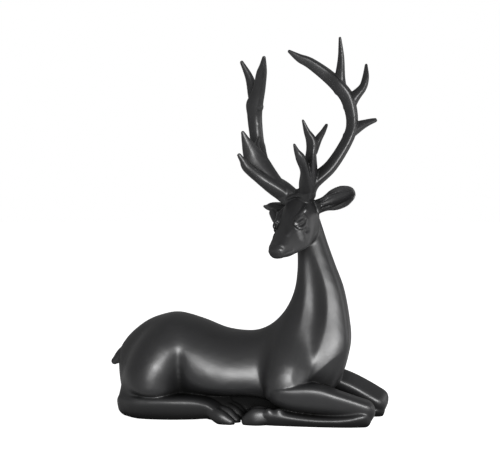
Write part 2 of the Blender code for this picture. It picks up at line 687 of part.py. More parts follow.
def flatten_underside(obj):
    """Cuts the casting off flat at the ground."""
    bm = bmesh.new()
    bmesh.ops.create_cube(bm, size=1.0, matrix=Matrix.Translation((0.0, 0.0, -GROUND_BLOCK / 2.0))
                          @ Matrix.Diagonal((GROUND_BLOCK, GROUND_BLOCK, GROUND_BLOCK, 1.0)))
    block = new_object("ground", bm)
    cut = obj.modifiers.new("underside", "BOOLEAN")
    cut.operation = "DIFFERENCE"
    cut.solver = "EXACT"
    cut.object = block
    bake(obj)
    bpy.data.objects.remove(block, do_unlink=True)


def centre_on_origin(obj):
    """Moves the casting so that the middle of its box is over the origin."""
    places = coordinates(obj.data) * MM
    middle = (places.min(axis=0) + places.max(axis=0)) / 2.0
    obj.data.transform(Matrix.Translation((-middle[0], -middle[1], 0.0)))


def iron():
    """Satin black painted iron."""
    material = bpy.data.materials.new("satin black iron")
    material.use_nodes = True
    shader = material.node_tree.nodes["Principled BSDF"]
    shader.inputs["Base Color"].default_value = IRON_COLOUR
    shader.inputs["Metallic"].default_value = IRON_METALLIC
    shader.inputs["Roughness"].default_value = IRON_ROUGHNESS
    return material


def build():
    for obj in list(bpy.data.objects):
        bpy.data.objects.remove(obj, do_unlink=True)
    bm = bmesh.new()
    add_body_mass(bm)
    mass = new_object("body mass", bm)
    one_skin(mass, BODY_VOXEL)
    soften(mass, both_sides(BODY_BLENDS), BODY_PASSES, everywhere=BODY_EVENNESS)
    finer(mass, BODY_LEVELS)
    for side in (-1.0, 1.0):
        press(mass, NECK_GROOVES, side, soft_edge)
        press(mass, FLANK_GROOVES, side, valley)
        press(mass, FLANK_FOLDS, side, lobe)

    place = head_matrix()
    bm = bmesh.new()
    bm.from_mesh(mass.data)
    bpy.data.objects.remove(mass, do_unlink=True)
    add_legs(bm)
    add_skull(bm, place)
    add_ear(bm, place, 1.0, LEFT_EAR_TWIST_DEG)
    add_ear(bm, place, -1.0, RIGHT_EAR_TWIST_DEG)
    for side in (-1.0, 1.0):
        add_antler(bm, place, side)
    stag = new_object(NODE_NAME, bm)
    one_skin(stag, VOXEL)
    soften(stag, JOINT_BLENDS, JOINT_PASSES)
    keep_largest(stag)
    return stag


def finish(stag):
    """Brings the casting down to its faces, its flat underside and its origin."""
    thin_out(stag, FACES)
    flatten_underside(stag)
    centre_on_origin(stag)
    stag.data.materials.clear()
    stag.data.materials.append(iron())
    stag.data.shade_smooth()


if __name__ == "__main__":
    finish(build())
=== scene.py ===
"""Reclining stag in cast iron: the carved casting, its satin black finish and a plain stage.

Metres, +Z up. The stag lies along +X with its head turned back over its right flank, towards -Y.
Every table below is in millimetres.
"""
import math

import bmesh
import bpy
import numpy as np
from bpy.props import FloatProperty, FloatVectorProperty, IntProperty, PointerProperty
from mathutils import Euler, Matrix, Vector


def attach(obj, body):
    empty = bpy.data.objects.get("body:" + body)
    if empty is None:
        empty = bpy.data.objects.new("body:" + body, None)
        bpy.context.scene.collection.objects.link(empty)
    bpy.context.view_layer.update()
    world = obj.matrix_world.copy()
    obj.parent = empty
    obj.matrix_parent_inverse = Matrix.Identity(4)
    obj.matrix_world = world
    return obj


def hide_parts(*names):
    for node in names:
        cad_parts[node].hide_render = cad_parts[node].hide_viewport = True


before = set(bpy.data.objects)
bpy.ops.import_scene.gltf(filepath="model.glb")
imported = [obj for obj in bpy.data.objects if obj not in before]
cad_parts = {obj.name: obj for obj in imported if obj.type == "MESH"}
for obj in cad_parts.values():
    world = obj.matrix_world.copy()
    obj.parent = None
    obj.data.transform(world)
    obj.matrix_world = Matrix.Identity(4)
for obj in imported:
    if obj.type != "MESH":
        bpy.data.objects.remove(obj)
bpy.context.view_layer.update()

bl_info = {
    "name": "Cast Iron Stag",
    "version": (1, 0, 0),
    "blender": (4, 5, 0),
    "location": "View3D > Sidebar > Stag",
    "description": "Carves a reclining stag in cast iron, finishes it in satin black and lights it",
    "category": "Object",
}

MM = 0.001

# Casting
NODE_NAME = "stag"
BODY_VOXEL = 2.5 * MM
BODY_PASSES = 50
BODY_LEVELS = 2
BODY_LIMB_DOME = 0.4
STROKE_STEPS = 12
RING_SIDES = 56
LID_SIDES = 24
RINGS_PER_SPAN = 7
END_ANGLES_DEG = (20.0, 38.0, 55.0, 70.0, 82.0)
# Share by which an even smoothing acts, on the body and on the whole casting
BODY_EVENNESS = 0.1
SKIN_EVENNESS = 0.12
SKIN_PASSES = 16
# A smoothing zone's weight falls off with this slope from its middle, in a number of levels
SOFT_LEVELS = 8
ZONE_EDGE = 1.6
SMOOTH_FACTOR = 0.5
# Roundness of a valley's middle line, as a share of its radius
VALLEY_ROUNDING = 0.22

# Head: where the crown sits on the neck, and how the head is turned on it
HEAD_PLACE = (51.3, -12.0, 220.4)
HEAD_TURN_DEG = -121.7
HEAD_NOD_DEG = 3.0
HEAD_TILT_DEG = 6.7

# Trunk and neck, one run of sections from rump to nape.
# Each is (back x, back z, belly x, belly z, half width, middle y, how far the widest part sags,
# squareness).
TRUNK = (
    (-133.8, 60.0, -132.0, 40.0, 8.0, 0.0, 0.0, 2.05),
    (-131.6, 68.0, -130.0, 29.0, 16.0, 0.0, 0.1, 2.05),
    (-126.8, 75.6, -127.0, 18.0, 23.0, 0.0, 0.2, 2.05),
    (-116.8, 85.9, -119.0, 12.0, 30.0, 0.0, 0.2, 2.05),
    (-103.0, 95.6, -104.0, 9.0, 36.0, 0.0, 0.05, 2.05),
    (-87.0, 101.5, -88.0, 10.0, 40.0, 0.0, -0.2, 2.05),
    (-71.5, 103.4, -72.0, 15.0, 42.0, 0.0, -0.2, 2.05),
    (-47.0, 97.2, -47.0, 20.0, 45.5, 0.0, 0.2, 2.05),
    (-22.4, 88.2, -20.0, 21.0, 43.5, 0.0, 0.33, 2.05),
    (2.0, 85.9, 8.0, 20.0, 39.5, 0.0, 0.28, 2.05),
    (16.5, 90.0, 38.0, 11.0, 34.0, 0.0, 0.2, 2.05),
    (27.7, 98.1, 66.0, 13.0, 33.0, 0.0, 0.2, 2.05),
    (35.8, 108.1, 85.5, 30.0, 33.5, 0.0, 0.34, 2.05),
    (41.3, 118.0, 95.5, 50.0, 32.5, 0.0, 0.42, 2.05),
    (45.2, 129.5, 100.0, 74.0, 29.0, 0.0, 0.6, 2.1),
    (47.3, 143.0, 99.0, 98.0, 25.0, 0.5, 0.54, 2.4),
    (47.8, 156.0, 94.0, 127.5, 21.5, 1.0, 0.4, 2.6),
    (47.3, 168.0, 85.5, 151.0, 18.5, 2.0, 0.34, 2.5),
    (47.5, 182.0, 77.3, 174.0, 16.5, 3.5, 0.2, 2.3),
    (48.5, 196.0, 71.5, 192.0, 14.5, 4.5, 0.0, 2.2),
    (50.0, 206.0, 67.5, 203.0, 11.0, 4.5, 0.0, 2.1),
)

LEG_SQUARENESS = 3.0
TOE_SQUARENESS = 2.4
LEG_LEAN = 0.42
FAR_LEG_UP = (0.0, -0.4, 1.0)

# Limbs that lie or stand along a path: (x, y, z, half width across, half height)
HAUNCH = (
    (-74.0, 12.0, 79.0, 26.0, 22.0),
    (-80.0, 17.0, 68.0, 29.0, 31.0),
    (-87.5, 18.0, 57.0, 30.0, 37.0),
    (-94.0, 18.0, 44.0, 30.0, 39.0),
    (-95.5, 18.0, 32.0, 29.0, 38.0),
)
FAR_HAUNCH = (
    (-80.0, 18.0, 82.0, 20.0, 14.0),
    (-86.0, 21.0, 68.0, 31.0, 25.0),
    (-90.0, 21.0, 54.0, 36.5, 28.5),
    (-90.0, 19.0, 38.0, 36.0, 27.0),
    (-86.0, 17.0, 24.0, 38.0, 24.0),
)
FAR_UPPER_ARM = (
    (36.0, 20.0, 80.0, 16.0, 14.0),
    (40.0, 26.0, 66.0, 15.0, 14.0),
    (46.0, 26.0, 50.0, 14.0, 13.0),
    (58.0, 22.0, 40.0, 13.0, 12.0),
    (76.0, 17.0, 37.0, 11.5, 11.5),
)
UPPER_ARM = (
    (51.0, 10.0, 94.0, 18.0, 11.0),
    (48.0, 19.0, 80.0, 21.0, 12.0),
    (44.5, 27.5, 65.0, 23.0, 14.0),
    (41.5, 33.5, 52.0, 23.5, 15.5),
    (40.0, 36.5, 40.0, 22.5, 15.2),
    (41.5, 37.5, 29.0, 19.0, 13.0),
)
NEAR_FOREARM = (
    (27.0, -37.0, 30.0, 9.0, 8.0),
    (35.0, -38.0, 27.5, 12.0, 11.0),
    (46.0, -38.5, 26.0, 12.5, 13.0),
    (58.0, -39.0, 26.0, 12.0, 14.2),
    (72.0, -39.5, 25.0, 11.2, 14.4),
    (90.0, -40.0, 21.3, 10.5, 12.4),
    (106.0, -39.5, 17.3, 10.5, 11.2),
    (116.0, -39.0, 13.5, 10.5, 12.0),
)
NEAR_CANNON = (
    (115.0, -40.5, 6.5, 10.0, 8.0),
    (98.0, -42.0, 3.5, 9.5, 7.0),
    (74.0, -43.0, 2.5, 9.0, 7.0),
    (50.0, -43.0, 3.5, 9.0, 8.0),
    (34.0, -43.0, 5.0, 9.0, 9.5),
    (22.0, -42.5, 6.0, 8.5, 9.5),
)
FAR_FOREARM = (
    (82.0, 16.0, 35.0, 11.0, 12.0),
    (98.0, 16.0, 28.5, 11.0, 12.5),
    (112.0, 16.0, 21.0, 11.0, 13.0),
    (126.0, 15.0, 12.5, 10.5, 14.0),
)
FAR_CANNON = (
    (126.0, 15.0, 5.5, 9.0, 8.5),
    (100.0, 16.0, 4.0, 8.5, 8.5),
    (60.0, 15.0, 3.0, 8.5, 8.5),
    (34.0, 12.0, 6.0, 9.0, 9.0),
    (18.0, 8.0, 7.0, 8.5, 8.5),
)
NEAR_HIND_CANNON = (
    (-117.5, -28.0, 14.0, 12.0, 12.5),
    (-104.0, -32.0, 12.5, 14.0, 12.5),
    (-76.0, -33.0, 12.5, 14.0, 12.5),
    (-52.0, -33.5, 12.8, 12.5, 11.8),
    (-38.0, -35.0, 12.0, 11.0, 10.0),
    (-29.0, -37.0, 9.0, 10.0, 8.0),
)
NEAR_HOCK = (
    (-102.0, -22.0, 48.0, 16.0, 14.0),
    (-110.0, -26.0, 36.0, 14.0, 13.0),
    (-115.5, -28.0, 24.0, 12.5, 12.5),
    (-117.5, -28.0, 13.0, 12.0, 12.5),
)
FAR_HIND_CANNON = (
    (-110.0, 22.0, 12.0, 12.0, 12.0),
    (-84.0, 8.0, 14.0, 11.0, 12.0),
    (-58.0, -8.0, 16.0, 10.0, 11.0),
    (-38.0, -13.0, 15.0, 9.0, 10.5),
    (-24.0, -15.0, 11.0, 9.0, 9.0),
)
# Cloven feet: each toe is a run of sections like a limb's, and so is each dew claw after the near fore toes
NEAR_HIND_TOES = (
    ((-35.0, -41.0, 12.5, 5.0, 5.0), (-23.0, -46.0, 6.5, 6.2, 7.0), (-13.0, -47.0, 2.0, 5.0, 5.0)),
    ((-33.0, -34.0, 13.0, 5.0, 5.0), (-19.0, -35.0, 6.5, 6.2, 8.0), (-9.0, -36.0, 1.5, 5.0, 5.0)),
)
FAR_HIND_TOES = (
    ((-26.0, -19.0, 11.0, 5.0, 7.0), (-14.0, -21.0, 6.0, 5.5, 7.5), (-5.0, -21.0, 1.5, 4.5, 4.5)),
    ((-24.0, -10.0, 11.0, 5.0, 7.0), (-12.0, -11.0, 6.0, 5.5, 7.5), (-4.0, -11.0, 1.5, 4.5, 4.5)),
)
NEAR_FORE_TOES = (
    ((22.0, -46.0, 8.0, 5.5, 8.0), (12.0, -47.0, 6.5, 6.0, 9.5), (3.5, -46.0, 2.5, 5.0, 7.0)),
    ((22.0, -37.0, 8.0, 5.5, 8.0), (12.0, -36.0, 7.0, 6.0, 9.5), (5.0, -36.0, 2.5, 5.0, 7.0)),
    ((22.0, -48.0, 13.0, 2.4, 2.4), (25.3, -49.2, 13.6, 3.6, 3.6), (28.6, -48.0, 13.0, 2.4, 2.4)),
    ((31.4, -48.0, 13.4, 2.4, 2.4), (34.6, -49.6, 13.8, 3.8, 3.6), (38.0, -48.0, 13.4, 2.4, 2.4)),
)
FAR_FORE_TOES = (
    ((18.0, 12.0, 7.0, 5.5, 8.0), (8.0, 10.0, 6.0, 6.0, 9.0), (0.0, 8.0, 2.5, 5.0, 6.5)),
    ((18.0, 2.0, 7.0, 5.5, 8.0), (8.0, 0.0, 6.0, 6.0, 9.0), (0.0, -2.0, 2.5, 5.0, 6.5)),
)
TAIL = (
    (-119.0, -3.0, 67.0, 9.5, 8.5),
    (-130.0, -4.0, 58.8, 7.0, 7.2),
    (-138.0, -5.0, 52.6, 3.6, 3.6),
)
# The underside of the barrel where it rests, out of sight behind the near legs
BELLY_REST = (
    (-100.0, 5.0, 14.0, 24.0, 17.0),
    (-80.0, 9.0, 12.0, 25.0, 16.0),
    (-50.0, 12.0, 10.0, 25.0, 15.0),
    (0.0, 13.0, 8.0, 24.0, 15.0),
    (44.0, 6.0, 8.0, 24.0, 15.0),
    (72.0, 0.0, 14.0, 20.0, 16.0),
)

# Head, in its own frame: x towards the nose, y to its left, z up, from the crown.
# Each section is (top x, top z, bottom x, bottom z, half width, squareness, narrowing to the top).
SKULL = (
    (-13.0, -9.0, -12.0, -37.0, 11.0, 2.0, 0.0),
    (-7.0, -1.0, -7.0, -45.0, 15.0, 2.2, 0.0),
    (3.0, 2.0, 1.0, -48.5, 17.0, 2.4, 0.0),
    (12.0, -6.0, 9.0, -50.5, 18.0, 2.8, 0.05),
    (21.0, -16.0, 16.0, -51.5, 17.2, 3.6, 0.2),
    (29.8, -26.5, 23.0, -53.0, 15.2, 4.4, 0.28),
    (39.2, -35.0, 30.5, -54.8, 13.2, 4.2, 0.24),
    (45.0, -40.5, 37.0, -57.0, 11.7, 3.2, 0.1),
    (49.2, -43.5, 41.5, -57.0, 10.2, 2.5, 0.0),
)
# The nose past the last section: (how far out, share of the size kept), and how much it droops
NOSE_CAP = ((2.2, 0.9), (3.8, 0.72), (4.8, 0.4))
NOSE_DROOP = 0.6
BROWS = ((10.0, 12.5, -11.0, 3.0, 2.5), (17.0, 14.6, -15.5, 2.8, 2.4), (26.0, 11.5, -22.0, 2.2, 2.0))
EYE_PLACE = (23.5, 13.9, -24.9)
EYE_SIZE = (7.2, 3.2, 4.4)
EYE_SLOPE_DEG = 24.0
EYE_SEGMENTS = 48
EYE_RINGS = 32
CROWN = ((1.0, -13.0, 0.0, 6.0, 6.0), (1.0, 0.0, 2.0, 6.0, 5.5), (1.0, 13.0, 0.0, 6.0, 6.0))
CROWN_RIM = ((6.0, -14.0, -3.5, 2.0, 1.8), (9.0, -8.0, -1.2, 2.0, 1.8), (8.8, -1.0, 0.6, 2.0, 1.8),
             (9.2, 5.0, 0.4, 2.0, 1.8), (8.4, 12.0, -1.6, 2.0, 1.8), (5.0, 17.5, -2.6, 2.0, 1.8))
RIGHT_EAR_BASE = ((8.0, -16.0, -26.0, 6.0, 6.0), (7.0, -26.0, -20.0, 5.0, 6.0), (3.0, -34.0, -13.0, 4.0, 4.5))

# Antler, left side, in the head's frame: (x, y, z, half thickness, half depth)
BEAM = (
    (3.0, 9.0, 0.0, 9.5, 9.5),
    (4.6, 20.5, 11.0, 7.6, 10.2),
    (-2.9, 40.0, 24.9, 6.3, 6.9),
    (-13.9, 55.8, 48.9, 5.7, 7.6),
    (-18.2, 60.0, 66.0, 5.8, 7.0),
    (-17.2, 58.4, 86.6, 6.8, 7.5),
    (-13.5, 52.6, 99.4, 6.9, 8.1),
    (-10.2, 42.8, 112.1, 6.6, 6.2),
    (-2.0, 30.6, 126.0, 5.4, 5.3),
    (3.8, 23.0, 132.1, 4.2, 3.7),
    (9.4, 16.0, 139.7, 1.8, 1.9),
)
BROW_TINE = (
    (4.9, 13.1, 1.9, 7.5, 7.1),
    (12.1, 19.4, 10.4, 7.9, 7.8),
    (23.8, 27.9, 22.3, 4.7, 6.0),
    (35.0, 33.2, 33.8, 4.8, 5.1),
    (40.2, 33.6, 40.8, 2.8, 3.2),
    (44.0, 34.5, 47.0, 1.3, 2.1),
)
TREZ_STEM = (
    (6.5, 17.8, 7.5, 8.2, 7.6),
    (14.0, 26.6, 23.6, 7.3, 10.6),
    (18.8, 34.0, 38.8, 5.0, 12.0),
    (21.1, 37.7, 49.5, 5.2, 8.5),
    (26.1, 37.5, 59.1, 3.1, 5.1),
    (30.3, 37.7, 69.3, 1.2, 1.9),
)
TREZ_SPUR = (
    (13.8, 33.2, 40.3, 4.4, 6.6),
    (11.6, 38.1, 50.0, 3.9, 4.7),
    (6.0, 41.6, 57.7, 2.7, 2.6),
    (-0.1, 42.4, 64.2, 1.7, 1.2),
)
UPPER_TINES = (
    ((-15.5, 52.3, 96.8, 6.7, 6.6), (-14.8, 54.6, 109.0, 5.0, 5.7), (-15.8, 57.8, 126.7, 3.2, 4.4),
     (-11.5, 62.3, 144.5, 1.4, 2.0)),
    ((-18.0, 58.0, 78.5, 6.0, 5.0), (-22.2, 63.5, 87.8, 5.4, 5.7), (-27.7, 70.5, 96.0, 4.0, 5.1),
     (-31.5, 72.7, 105.6, 3.3, 4.3), (-40.0, 69.3, 118.1, 1.5, 1.5)),
    ((-14.2, 55.1, 50.9, 4.8, 6.8), (-22.9, 61.8, 58.5, 5.4, 5.9), (-30.3, 68.5, 61.8, 3.6, 3.4),
     (-36.8, 74.3, 63.5, 2.3, 1.6)),
)
KEEL_SIDE = (0.77, 0.64, 0.0)
KEEL = 0.42
KEEL_LEAN = 0.35

# Ear blade, from its root to its tip along the head's left side: (share of length, half width, half
# thickness)
EAR_ROOT = (-6.0, 12.0, -13.5)
EAR_TIP = (-13.0, 56.0, -3.0)
EAR_BLADE = ((0.0, 7.5, 4.5), (0.25, 7.3, 3.4), (0.5, 10.5, 2.6), (0.75, 10.6, 2.3), (0.93, 7.2, 1.9),
             (1.0, 4.0, 1.3))
# How deep the blade is cupped where its half width is the second value
EAR_CUP = 3.2
EAR_CUP_WIDTH = 10.0
# Inside of an ear: the hollow within its rim, then locks of hair along it.
# Runs of (share of length, place across as a share of the width, radius, depth)
EAR_HOLLOW = (
    ((0.22, 0.0, 3.0, 0.6), (0.4, 0.0, 5.5, 2.0), (0.6, 0.0, 7.0, 2.4), (0.8, 0.0, 6.5, 2.0),
     (0.92, 0.0, 4.0, 0.8)),
)
EAR_LOCKS = (
    ((0.2, -0.75, 1.0, -1.1), (0.5, -0.62, 1.1, -1.2), (0.82, -0.45, 0.9, -0.8)),
    ((0.18, -0.35, 1.0, -1.1), (0.5, -0.3, 1.2, -1.4), (0.8, -0.18, 0.9, -0.8)),
    ((0.18, 0.05, 1.0, -1.1), (0.5, 0.02, 1.2, -1.4), (0.86, 0.06, 0.9, -0.8)),
    ((0.18, 0.42, 1.0, -1.1), (0.5, 0.34, 1.2, -1.4), (0.8, 0.3, 0.9, -0.8)),
    ((0.2, 0.78, 1.0, -1.1), (0.5, 0.64, 1.1, -1.2), (0.8, 0.52, 0.9, -0.8)),
)
# The right ear hangs a little lower at its root and tip, and is turned back
LEFT_EAR_TWIST_DEG = 0.0
RIGHT_EAR_TWIST_DEG = 75.0
RIGHT_EAR_DROP = (2.4, 0.4)
RIGHT_EAR_LENGTH = 0.95

# Where limbs run into the body without an edge: (x, y, z, radius), and the same on the far side
BODY_BLENDS = (
    (-84.0, 34.0, 92.0, 40.0),
    (-118.0, 34.0, 62.0, 30.0),
    (-117.0, 38.0, 34.0, 28.0),
    (-36.0, 42.0, 52.0, 22.0),
    (38.0, 34.0, 96.0, 48.0),
    (20.0, 40.0, 66.0, 26.0),
    (68.0, 36.0, 74.0, 26.0),
)
# Joints that are rounded off after the parts are fused
JOINT_BLENDS = (
    (118.0, -40.0, 12.0, 16.0),
    (126.0, 15.0, 13.0, 16.0),
    (-113.0, -27.0, 24.0, 20.0),
    (-120.0, -40.0, 26.0, 22.0),
    (-110.0, 22.0, 22.0, 20.0),
    (46.0, -34.0, 84.0, 22.0),
    (52.0, -44.0, 30.0, 14.0),
    (60.0, 18.0, 38.0, 20.0),
    (-124.0, -3.0, 66.0, 12.0),
    (68.0, -12.0, 178.0, 20.0),
    (66.0, -14.0, 196.0, 15.0),
    (-33.0, -38.0, 12.0, 12.0),
)
JOINT_PASSES = 60
# Creases between stacked parts of a leg, evened out along their length: (x, y, z, radius)
CREASES = (
    ((116.0, -47.0, 10.0, 8.0), (95.0, -50.0, 10.0, 8.0), (60.0, -51.0, 11.0, 8.0),
     (28.0, -49.0, 13.0, 8.0)),
    ((-104.0, -50.0, 22.0, 9.0), (-80.0, -48.0, 27.0, 9.0), (-50.0, -44.0, 26.0, 9.0),
     (-20.0, -40.0, 22.0, 9.0)),
)
# Carving on both flanks, seen from the side: runs of (x, z, radius, depth), where a negative depth is raised
FLANK_GROOVES = (
    ((-66.0, 67.0, 9.0, 1.2), (-66.0, 58.0, 12.0, 3.4), (-66.0, 46.0, 13.0, 4.0), (-66.0, 28.0, 13.0, 4.0)),
)
FLANK_FOLDS = (
    ((101.0, 61.0, 11.0, 1.2), (86.0, 48.0, 12.0, 2.6), (69.5, 33.0, 12.0, 3.0)),
)
NECK_GROOVES = (
    ((60.0, 162.0, 7.0, 0.6), (61.5, 155.0, 8.0, 1.6), (64.5, 140.0, 11.0, 3.2), (66.8, 121.0, 13.0, 4.2),
     (66.0, 101.0, 13.5, 4.0), (63.5, 86.0, 13.5, 2.8), (59.5, 72.0, 12.5, 2.6), (57.5, 58.0, 10.0, 2.2),
     (54.0, 46.0, 8.0, 1.2)),
)

# Finer carving, in the head's frame, left side; the right side is its mirror image.
# Runs of (x, y, z, half width, half height)
UPPER_LID = (
    (30.0, 12.4, -27.0, 0.8, 0.8),
    (27.6, 13.7, -22.8, 1.1, 1.0),
    (23.4, 14.9, -20.6, 1.2, 1.1),
    (18.6, 15.8, -19.8, 1.2, 1.0),
    (16.0, 16.2, -21.6, 0.9, 0.8),
)
LOWER_LID = (
    (30.0, 12.6, -27.6, 0.8, 0.7),
    (28.0, 13.9, -30.0, 1.1, 1.0),
    (24.0, 15.1, -30.2, 1.4, 1.1),
    (18.8, 16.0, -27.8, 1.3, 1.0),
    (15.6, 16.4, -23.2, 0.9, 0.8),
)
# Strokes in the head's frame, left side: runs of (x, y, z, radius, depth); a negative depth is raised
HEAD_STROKES = (
    ((49.4, 5.0, -46.4, 2.6, 0.5), (48.4, 8.4, -47.4, 2.6, 0.6)),
    ((49.0, 7.4, -42.0, 2.4, -0.8), (48.4, 8.0, -42.8, 2.4, -1.0)),
    ((47.0, 5.0, -53.6, 2.2, 0.6), (44.0, 10.4, -53.0, 2.2, 0.8), (38.0, 13.4, -51.2, 2.2, 0.6)),
    ((16.6, 17.6, -13.8, 3.0, -1.7), (16.7, 17.8, -14.8, 3.0, -1.7)),
    ((17.4, 17.8, -17.4, 2.2, -1.7), (17.6, 18.0, -18.0, 2.2, -1.7)),
    ((28.8, 13.4, -18.8, 3.0, -1.0), (29.4, 13.0, -19.8, 2.6, -0.8)),
    ((30.4, 12.8, -25.4, 3.0, -0.8), (34.0, 10.8, -30.4, 3.0, -1.1), (38.0, 8.4, -36.2, 2.8, -0.6)),
    ((25.4, 16.6, -32.6, 6.0, -1.8), (24.2, 17.0, -38.6, 6.5, -1.3)),
    ((20.0, 17.4, -34.4, 3.0, 0.9), (16.6, 17.8, -33.6, 2.8, 0.6)),
    ((2.2, 18.6, -4.5, 3.4, -1.0), (1.6, 19.8, -9.5, 3.6, -1.9), (2.4, 19.6, -14.5, 3.4, -0.8)),
)
# The creases round the near eye; the far one is left plainer
EYE_STROKES = (
    ((30.0, 14.2, -26.4, 1.7, 0.4), (27.0, 16.0, -23.8, 1.9, 0.9), (22.8, 17.4, -22.0, 2.0, 1.1),
     (17.6, 18.2, -21.8, 1.8, 0.8)),
    ((27.4, 16.0, -28.2, 1.7, 0.5), (24.6, 16.6, -27.8, 1.8, 0.7), (20.4, 17.4, -26.0, 1.8, 0.8),
     (17.2, 18.0, -22.8, 1.7, 0.6)),
    ((28.2, 15.8, -31.0, 3.0, -0.9), (24.2, 16.6, -31.8, 3.2, -1.3), (18.6, 17.6, -29.4, 2.8, -1.0)),
)

# Finish, and the painted shade in its recesses
# Painted shade in recesses, which darkens the colour and weakens the reflection there: how far off a wall it
# reaches, in metres, the share of open sky at which the shade is darkest and at which it is gone, and the
# dark colour painted there
PAINTED_SHADE_REACH = 0.03
PAINTED_SHADE_OPENNESS = (0.3, 0.8)
PAINTED_SHADE_COLOUR = (0.006, 0.006, 0.006)
PAINTED_SHADE_SAMPLES = 16
# Places of the colour sockets on a mix node, whose names it gives more than once
MIX_SHARE, MIX_FROM, MIX_TO, MIX_RESULT = 0, 6, 7, 2
# Noises of the finish: (scale, detail)
BLOTCHES = (60.0, 3.0)
GRAIN = (1400.0, 4.0)
WAVES = (90.0, 2.0)
BLOTCH_RANGE = (0.3, 0.7)
ROUGHNESS_SPREAD = 0.03

# Stage, in metres except the view's target in millimetres
FLOOR_RADIUS = 6.0
FLOOR_SIDES = 96
CAMERA_REACH = 20.0
FLOOR_COLOUR = 0.72
VIEW_TARGET = (1.79, 3.18, 191.2)
# (name, turn round the stag, lift above level, distance, width, height, share of the key's power)
SOFT_BOXES = (
    ("key box", 13.0, 1.5, 1.4, 0.6, 0.45, 1.1),
    ("fill box", 48.0, 6.0, 1.6, 0.7, 0.9, 0.2),
    ("side box", 105.0, 5.0, 1.6, 1.2, 1.2, 0.24),
)


def spline(rows, per_span=RINGS_PER_SPAN):
    """Runs a smooth curve through the rows of a table and returns finer rows."""
    rows = np.array(rows, dtype=float)
    if len(rows) < 3:
        steps = np.linspace(0.0, 1.0, per_span + 1)[:, None]
        return rows[0] + (rows[-1] - rows[0]) * steps
    padded = np.vstack([2.0 * rows[0] - rows[1], rows, 2.0 * rows[-1] - rows[-2]])
    fine = []
    for i in range(len(rows) - 1):
        a, b, c, d = padded[i:i + 4]
        for t in np.arange(per_span) / per_span:
            fine.append(0.5 * (2.0 * b + (c - a) * t + (2.0 * a - 5.0 * b + 4.0 * c - d) * t * t
                               + (3.0 * b - a - 3.0 * c + d) * t ** 3))
    fine.append(rows[-1])
    return np.array(fine)


def section(squareness=2.0, keel=0.0, lean=0.0, sag=0.0, sides=RING_SIDES):
    """Unit section as (across, up) pairs: an ellipse, squared off, widest below its middle, or drawn to a
    leaning keel."""
    points = []
    for i in range(sides):
        angle = math.tau * i / sides
        across = math.copysign(abs(math.cos(angle)) ** (2.0 / squareness), math.cos(angle))
        up = math.copysign(abs(math.sin(angle)) ** (2.0 / squareness), math.sin(angle))
        rise = max(0.0, up)
        points.append((across * (1.0 - keel * rise) + lean * rise * rise, up - sag * (1.0 - up * up)))
    return points


def narrowed(shape, taper):
    """The same section drawn in towards its top."""
    return [(s * (1.0 - taper * t), t) for s, t in shape]


def add_ring(bm, centre, across, up, shape):
    """One section, laid out from a circle; returns its edges."""
    verts = bmesh.ops.create_circle(bm, segments=len(shape), radius=1.0)["verts"]
    for vert, (s, t) in zip(verts, shape):
        vert.co = centre + across * s + up * t
    return list({edge for vert in verts for edge in vert.link_edges})


def skin(bm, rings):
    """Bridges a run of sections and closes both ends."""
    for first, second in zip(rings, rings[1:]):
        bmesh.ops.bridge_loops(bm, edges=first + second)
    for end in (rings[0], rings[-1]):
        bmesh.ops.edgeloop_fill(bm, edges=end)


def join(bm, part):
    """Adds a finished part to a larger bmesh."""
    bmesh.ops.recalc_face_normals(part, faces=part.faces)
    mesh = bpy.data.meshes.new("part")
    part.to_mesh(mesh)
    part.free()
    bm.from_mesh(mesh)
    bpy.data.meshes.remove(mesh)


def rounded_ends(rows, depth):
    """Adds shrinking sections past both ends of a limb, so that it closes in a dome."""
    rows = [np.array(row) for row in rows]
    head, tail = [], []
    for angle in END_ANGLES_DEG:
        out, keep = math.sin(math.radians(angle)), math.cos(math.radians(angle))
        for last, before, store in ((rows[0], rows[1], head), (rows[-1], rows[-2], tail)):
            heading = last[:3] - before[:3]
            heading /= np.linalg.norm(heading)
            radius = min(last[3], last[4]) * depth
            store.append(np.concatenate([last[:3] + heading * radius * out, last[3:5] * keep]))
    return head[::-1] + rows + tail


def add_limb(bm, rows, up=(0.0, 0.0, 1.0), shape=None, dome=1.0, place=None):
    """A limb along a path, each section square to it; rows are (x, y, z, half width, half height)."""
    rows = rounded_ends(spline(rows), dome)
    shape = shape or section()
    place = place or Matrix.Identity(4)
    turn = place.to_3x3()
    centres = [Vector(row[:3]) for row in rows]
    limb = bmesh.new()
    rings = []
    for i, row in enumerate(rows):
        ahead = centres[min(i + 1, len(rows) - 1)] - centres[max(i - 1, 0)]
        across = ahead.cross(Vector(up)).normalized()
        upward = across.cross(ahead).normalized()
        centre = place @ (centres[i] * MM)
        rings.append(add_ring(limb, centre, turn @ across * row[3] * MM, turn @ upward * row[4] * MM, shape))
    skin(limb, rings)
    join(bm, limb)


def mirrored(rows):
    """The same rows on the other side of the middle plane."""
    return tuple((row[0], -row[1]) + tuple(row[2:]) for row in rows)


def sided(rows, side):
    """The rows as they are on the left side, or their mirror image on the right."""
    return rows if side > 0.0 else mirrored(rows)


def head_matrix():
    """Places the head's own frame on the neck."""
    turn = Euler([math.radians(a) for a in (HEAD_TILT_DEG, HEAD_NOD_DEG, HEAD_TURN_DEG)], "XYZ")
    return Matrix.Translation(Vector(HEAD_PLACE) * MM) @ turn.to_matrix().to_4x4()


def add_trunk(bm):
    """Barrel, chest and neck in one run of upright sections that fan round the withers."""
    trunk = bmesh.new()
    rings = []
    for row in spline(TRUNK):
        shape = section(row[7], sag=row[6], sides=2 * RING_SIDES)
        back = Vector((row[0], row[5], row[1])) * MM
        belly = Vector((row[2], row[5], row[3])) * MM
        side = Vector((0.0, row[4] * MM, 0.0))
        rings.append(add_ring(trunk, (back + belly) / 2.0, side, (back - belly) / 2.0, shape))
    skin(trunk, rings)
    join(bm, trunk)


